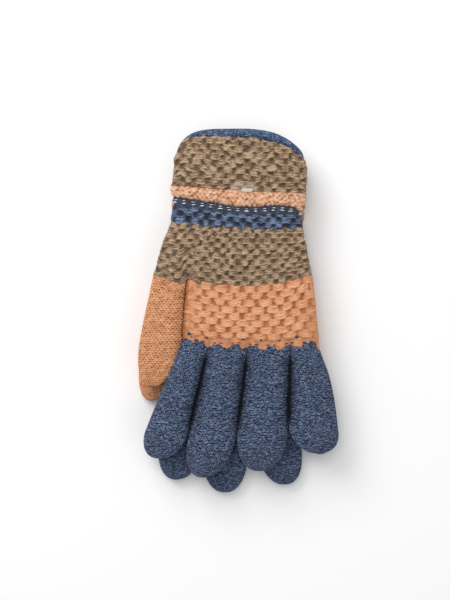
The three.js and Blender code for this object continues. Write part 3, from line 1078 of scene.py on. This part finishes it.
def seam_floats(glove, palm, seed):
    """The knuckle seam's navy floats: a dot above each peach tongue and two dashes beside it."""
    tongue = TONGUE_START + TONGUE_PITCH * np.arange(-3, 5)
    beside = 0.5 + 0.17 * np.array([-1, 1])
    between = (tongue[:, None] + TONGUE_PITCH * beside).ravel()
    for name, xs, rise, length, width in (
        ("dots", tongue - 0.8, 5.6, 2.6, 1.7),
        ("dashes", between, 2.7, 2.7, 0.75),
    ):
        xs = xs[(xs > knuckles.left + 4) & (xs < knuckles.right - 4)]
        level = palm.length - rise
        u = np.concatenate([share_at(palm, xs, level, top) for top in (True, False)])
        v = np.full(len(u), level)
        name = f"{glove.side}_seam_{name}"
        piece = yarn_bits(name, glove, palm, u, v, navy_float, seed, length, width, lift=0.7)
        stand_for(piece, glove.hand, "navy_yarn")


def digit_tube(name, glove, **settings):
    start = hand_top.line if name == "thumb" else knuckles.line
    if name == "little_finger":
        settings["bulge"] = LITTLE_BULGE
    if glove.mirrored and name != "thumb":
        settings["longer"] = LOWER_TIPS
    return DigitTube(f"{glove.side}_{name}", glove.local, start, **settings)


def digit_pieces(glove, meets, seed):
    for index, name in enumerate(DIGITS):
        node = f"{glove.side}_{name}"
        tube = digit_tube(name, glove, meets=meets[name])
        if name == "thumb":
            material, slot, settings, edge = peach_thumb, "peach_yarn", THUMB_KNIT, hand_top.edge
        else:
            material, slot, settings, edge = navy_digit, "navy_yarn", FINGER_KNIT, knuckles.edge
        # tube.crease paints shade on the sides where a digit presses against its neighbour
        pattern = fine_knit(tube=tube, seed=seed + index * 7, shadow=tube.crease, edge=edge, **settings)
        start, end = -SEAM_OVERHANG, tube.length - 0.3
        piece = knit(f"{node}_knit", glove, tube, material, FINE_GRAIN, pattern, start, end, tip=True)
        base = glove.world(np.array([[tube.base_x, tube.base_y, thickness / 2]]))[0]
        ahead = np.array([0, -1, 0])
        across = (glove.hand, node, (base - BEND[0] * ahead) * MM, (base + BEND[1] * ahead) * MM)
        stand_for(piece, across, slot, node)
        outer, inner = (digit_tube(name, glove, inset=depth) for depth in DIGIT_FLEECE)
        end = outer.length - 0.5
        piece = lining(f"{node}_fleece", glove, outer, inner, 1.6, -1.5, end, tip=True)
        stand_for(piece, across, "navy_fleece", f"{node}_lining")


def hand_linings(glove, tubes):
    for name, start, past in (("cuff", 2.5, 1.0), ("hand", -2.0, 3.0)):
        node = f"{glove.side}_{name}"
        outer, inner = tubes[f"{name}_lining"]
        piece = lining(f"{node}_fleece", glove, outer, inner, 1.2, start, outer.length + past)
        stand_for(piece, glove.hand, "navy_fleece", f"{node}_lining")


def make_glove(side, seed):
    glove = Glove(side)
    digits = {name: digit_tube(name, glove) for name in DIGITS}
    thumb = digits["thumb"]
    crease = (thumb.base_x + thumb.base_half + hand_top.left) / 2
    meets = {name: [None, None] for name in DIGITS}
    forks = []
    for first, second in zip(DIGITS[1:], DIGITS[2:]):
        one, two = digits[first], digits[second]
        base = (one.base_x + one.base_half + two.base_x - two.base_half) / 2
        gap = two.wide_x - two.wide_half - one.wide_x - one.wide_half
        wide = one.wide_x + one.wide_half + gap / 2 if gap < NEIGHBOURS else None
        meets[first][1] = meets[second][0] = (base, wide)
        forks.append(base)
    tubes = hand_tubes(crease, forks)
    meets["thumb"][1] = (crease, float(tubes["hand"].left(thumb.wide_y)))
    hand_pieces(glove, tubes, seed)
    elastic_threads(glove, tubes["stripe"], seed + 60)
    seam_floats(glove, tubes["hand"], seed + 70)
    digit_pieces(glove, meets, seed + 80)
    hand_linings(glove, tubes)


# ---- the clear tag tab ----


def slab(name, points, thick, material):
    """A closed sheet over a grid of points, so many millimetres thick."""
    rows, columns, _ = points.shape
    grid = np.arange(rows * columns).reshape(rows, columns)
    top = np.stack([grid[:-1, :-1], grid[:-1, 1:], grid[1:, 1:], grid[1:, :-1]], -1).reshape(-1, 4)
    rim = np.concatenate([grid[0], grid[1:, -1], grid[-1, -2::-1], grid[-2:0:-1, 0]])
    under = rows * columns
    after = np.roll(rim, -1)
    wall = np.stack([after, rim, rim + under, after + under], -1)
    points = points.reshape(-1, 3)
    below = points - (0, 0, thick)
    quads = np.concatenate([top, top[:, ::-1] + under, wall])
    points = np.concatenate([points, below])
    zero = np.zeros(len(points))
    return new_piece(name, points, (quads, NO_FANS), material, [zero, zero, points[:, 0], points[:, 1]])


TAG_TUCK, TAG_ARCH = 1.2, 0.5  # the tab starts this far under the roll, and rises in its middle
TAG_RIM = (0.955, 1.015)  # the thicker rim, as shares of the tab's radius
FOLD_SIDES = (-0.24, 0.74)  # where the fold lies across the tab
FOLD_TUCK, FOLD_WIDTH = 0.7, 1.3


def half_round(name, radii, steps, rise, thick, material):
    """A half disc or half ring of film, so many millimetres above the tab's CAD solid."""
    low, high = box("tag_tab")
    r, angle = np.meshgrid(radii, np.linspace(0, math.pi, steps))
    across, along = r * np.cos(angle), r * np.sin(angle)
    x = (low[0] + high[0]) / 2 + (high[0] - low[0]) / 2 * across
    y = low[1] - TAG_TUCK + (high[1] - low[1]) * along
    z = high[2] + rise + TAG_ARCH * (1 - across**2) * (1 - 0.5 * along)
    return slab(name, np.stack([x, y, z], -1), thick, material)


def tag_tab():
    """A half-round of clear film that comes out from under the roll, with its fold lying on it; the fold
    is drawn whiter and more opaque than the film, a painted highlight of the glare where the film bends.
    """
    film = half_round("tag_film", np.linspace(0.02, 1, 14), 40, 0.5, 0.3, clear_film)
    rim = half_round("tag_rim", np.linspace(*TAG_RIM, 4), 60, 0.62, 0.5, clear_edge)
    low, high = box("tag_tab")
    across, along = np.meshgrid(np.linspace(*FOLD_SIDES, 24), np.linspace(-1, 1, 8))
    x = (low[0] + high[0]) / 2 + (high[0] - low[0]) / 2 * across
    y = low[1] - FOLD_TUCK + FOLD_WIDTH * along * (1 - (2.04 * (across - 0.25)) ** 4) ** 0.5
    z = high[2] + 1.1 + 0.35 * (1 - along**2) - 0.2 * along
    fold = slab("tag_fold_painted_glare", np.stack([x, y, z], -1), 0.4, clear_fold_painted_glare)
    for piece in (film, rim, fold):
        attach(piece, "left_hand")
    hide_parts("tag_tab")


make_glove("left", 100)
make_glove("right", 500)
tag_tab()
